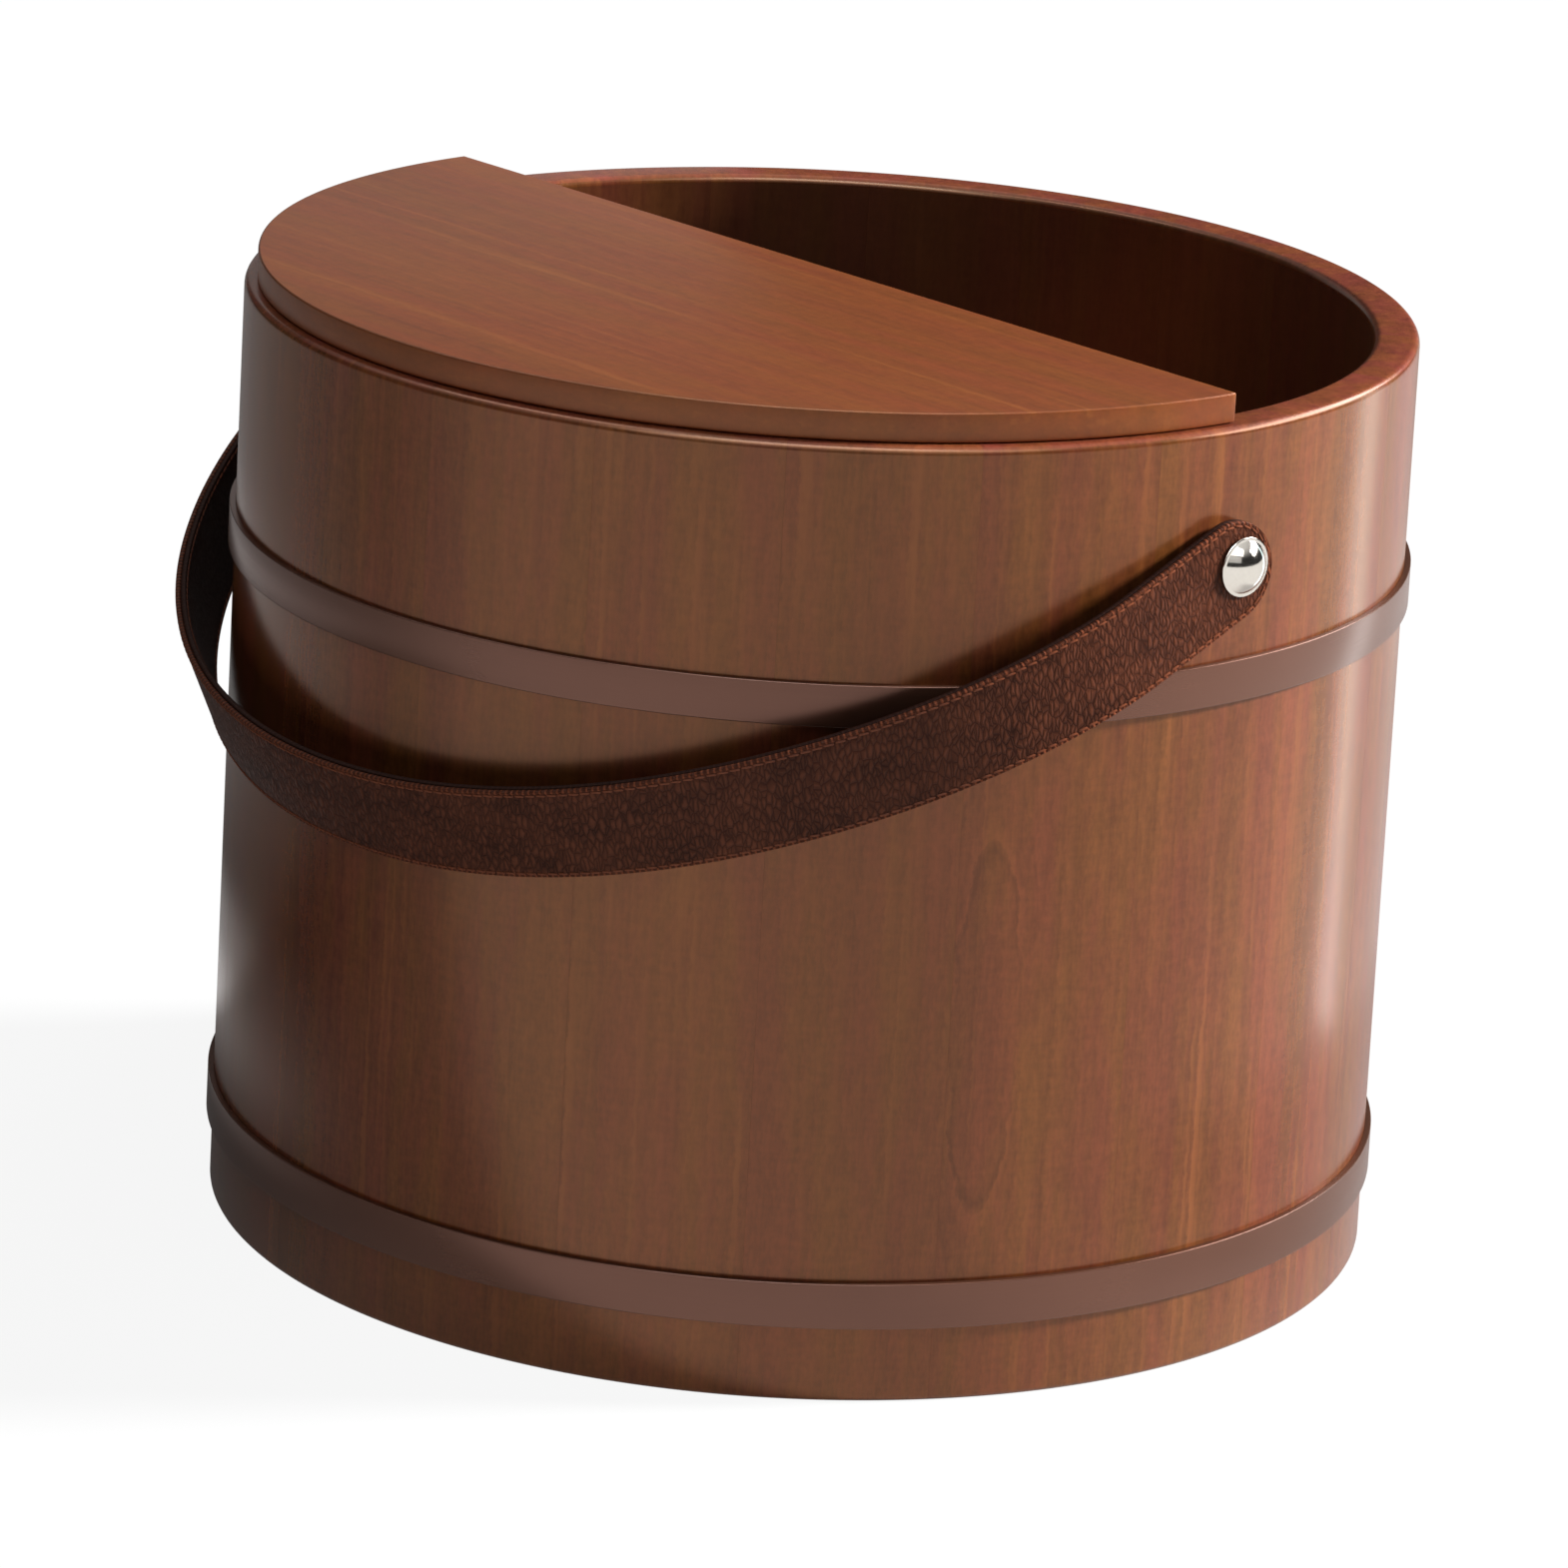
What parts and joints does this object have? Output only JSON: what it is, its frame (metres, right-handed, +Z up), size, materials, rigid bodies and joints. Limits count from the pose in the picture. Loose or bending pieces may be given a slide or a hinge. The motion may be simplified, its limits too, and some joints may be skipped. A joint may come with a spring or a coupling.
{
  "type": "wooden foot soak bucket",
  "caption": "Round coopered wooden bucket with flat metal hoops, a half lid resting on the rim and a swinging leather strap handle.",
  "frame": {"origin": "on the floor, at the middle of the ring of staves", "axes": "+Z up; X through the two pivot screws of the handle; -Y towards the half lid and the handle at rest"},
  "size_m": [0.3928, 0.3921, 0.3085],
  "materials": {
    "stave_wood": "reddish brown lacquer, satin to glossy, nearly black inside",
    "lid_wood": "warm orange brown lacquer, satin",
    "bottom_wood": "dark brown lacquer, satin",
    "dowel_wood": "plain pale wood",
    "hoop_metal": "copper brown satin coat",
    "strap_leather": "dark brown pebbled leather with red brown stitching",
    "lining_leather": "very dark smooth lining",
    "pivot_chrome": "polished",
    "fixing_steel": "satin"
  },
  "bodies": {
    "bucket": {"stave_01": "stave_wood", "stave_02": "stave_wood", "stave_03": "stave_wood", "stave_04": "stave_wood", "stave_05": "stave_wood", "stave_06": "stave_wood", "stave_07": "stave_wood", "stave_08": "stave_wood", "stave_09": "stave_wood", "stave_10": "stave_wood", "stave_11": "stave_wood", "stave_12": "stave_wood", "stave_13": "stave_wood", "stave_14": "stave_wood", "stave_15": "stave_wood", "stave_16": "stave_wood", "stave_17": "stave_wood", "stave_18": "stave_wood", "stave_19": "stave_wood", "stave_20": "stave_wood", "bottom_board_1": "bottom_wood", "bottom_board_2": "bottom_wood", "bottom_board_3": "bottom_wood", "bottom_board_4": "bottom_wood", "bottom_dowel_1a": "dowel_wood", "bottom_dowel_1b": "dowel_wood", "bottom_dowel_2a": "dowel_wood", "bottom_dowel_2b": "dowel_wood", "bottom_dowel_3a": "dowel_wood", "bottom_dowel_3b": "dowel_wood", "upper_hoop": "hoop_metal", "lower_hoop": "hoop_metal", "pivot_screw_left": "pivot_chrome", "pivot_screw_right": "pivot_chrome", "pivot_bush_left": "fixing_steel", "pivot_bush_right": "fixing_steel", "pivot_washer_left": "fixing_steel", "pivot_washer_right": "fixing_steel", "pivot_nut_left": "fixing_steel", "pivot_nut_right": "fixing_steel"},
    "handle": {"strap_leather": "strap_leather", "strap_lining": "lining_leather"},
    "lid": {"lid_board": "lid_wood", "lid_batten_left": "lid_wood", "lid_batten_right": "lid_wood", "lid_screw_left_1": "fixing_steel", "lid_screw_left_2": "fixing_steel", "lid_screw_left_3": "fixing_steel", "lid_screw_right_1": "fixing_steel", "lid_screw_right_2": "fixing_steel", "lid_screw_right_3": "fixing_steel"}
  },
  "joints": [
    {"name": "handle_swing", "type": "hinge", "parent": "bucket", "child": "handle", "pos_m": [0, 0, 0.2575], "axis": [-1, 0, 0], "range_deg": [0, 230.25]},
    {"name": "lid_lift", "type": "slide", "parent": "bucket", "child": "lid", "axis": [0, 0, 1], "range_m": [0, 0.12]}
  ]
}
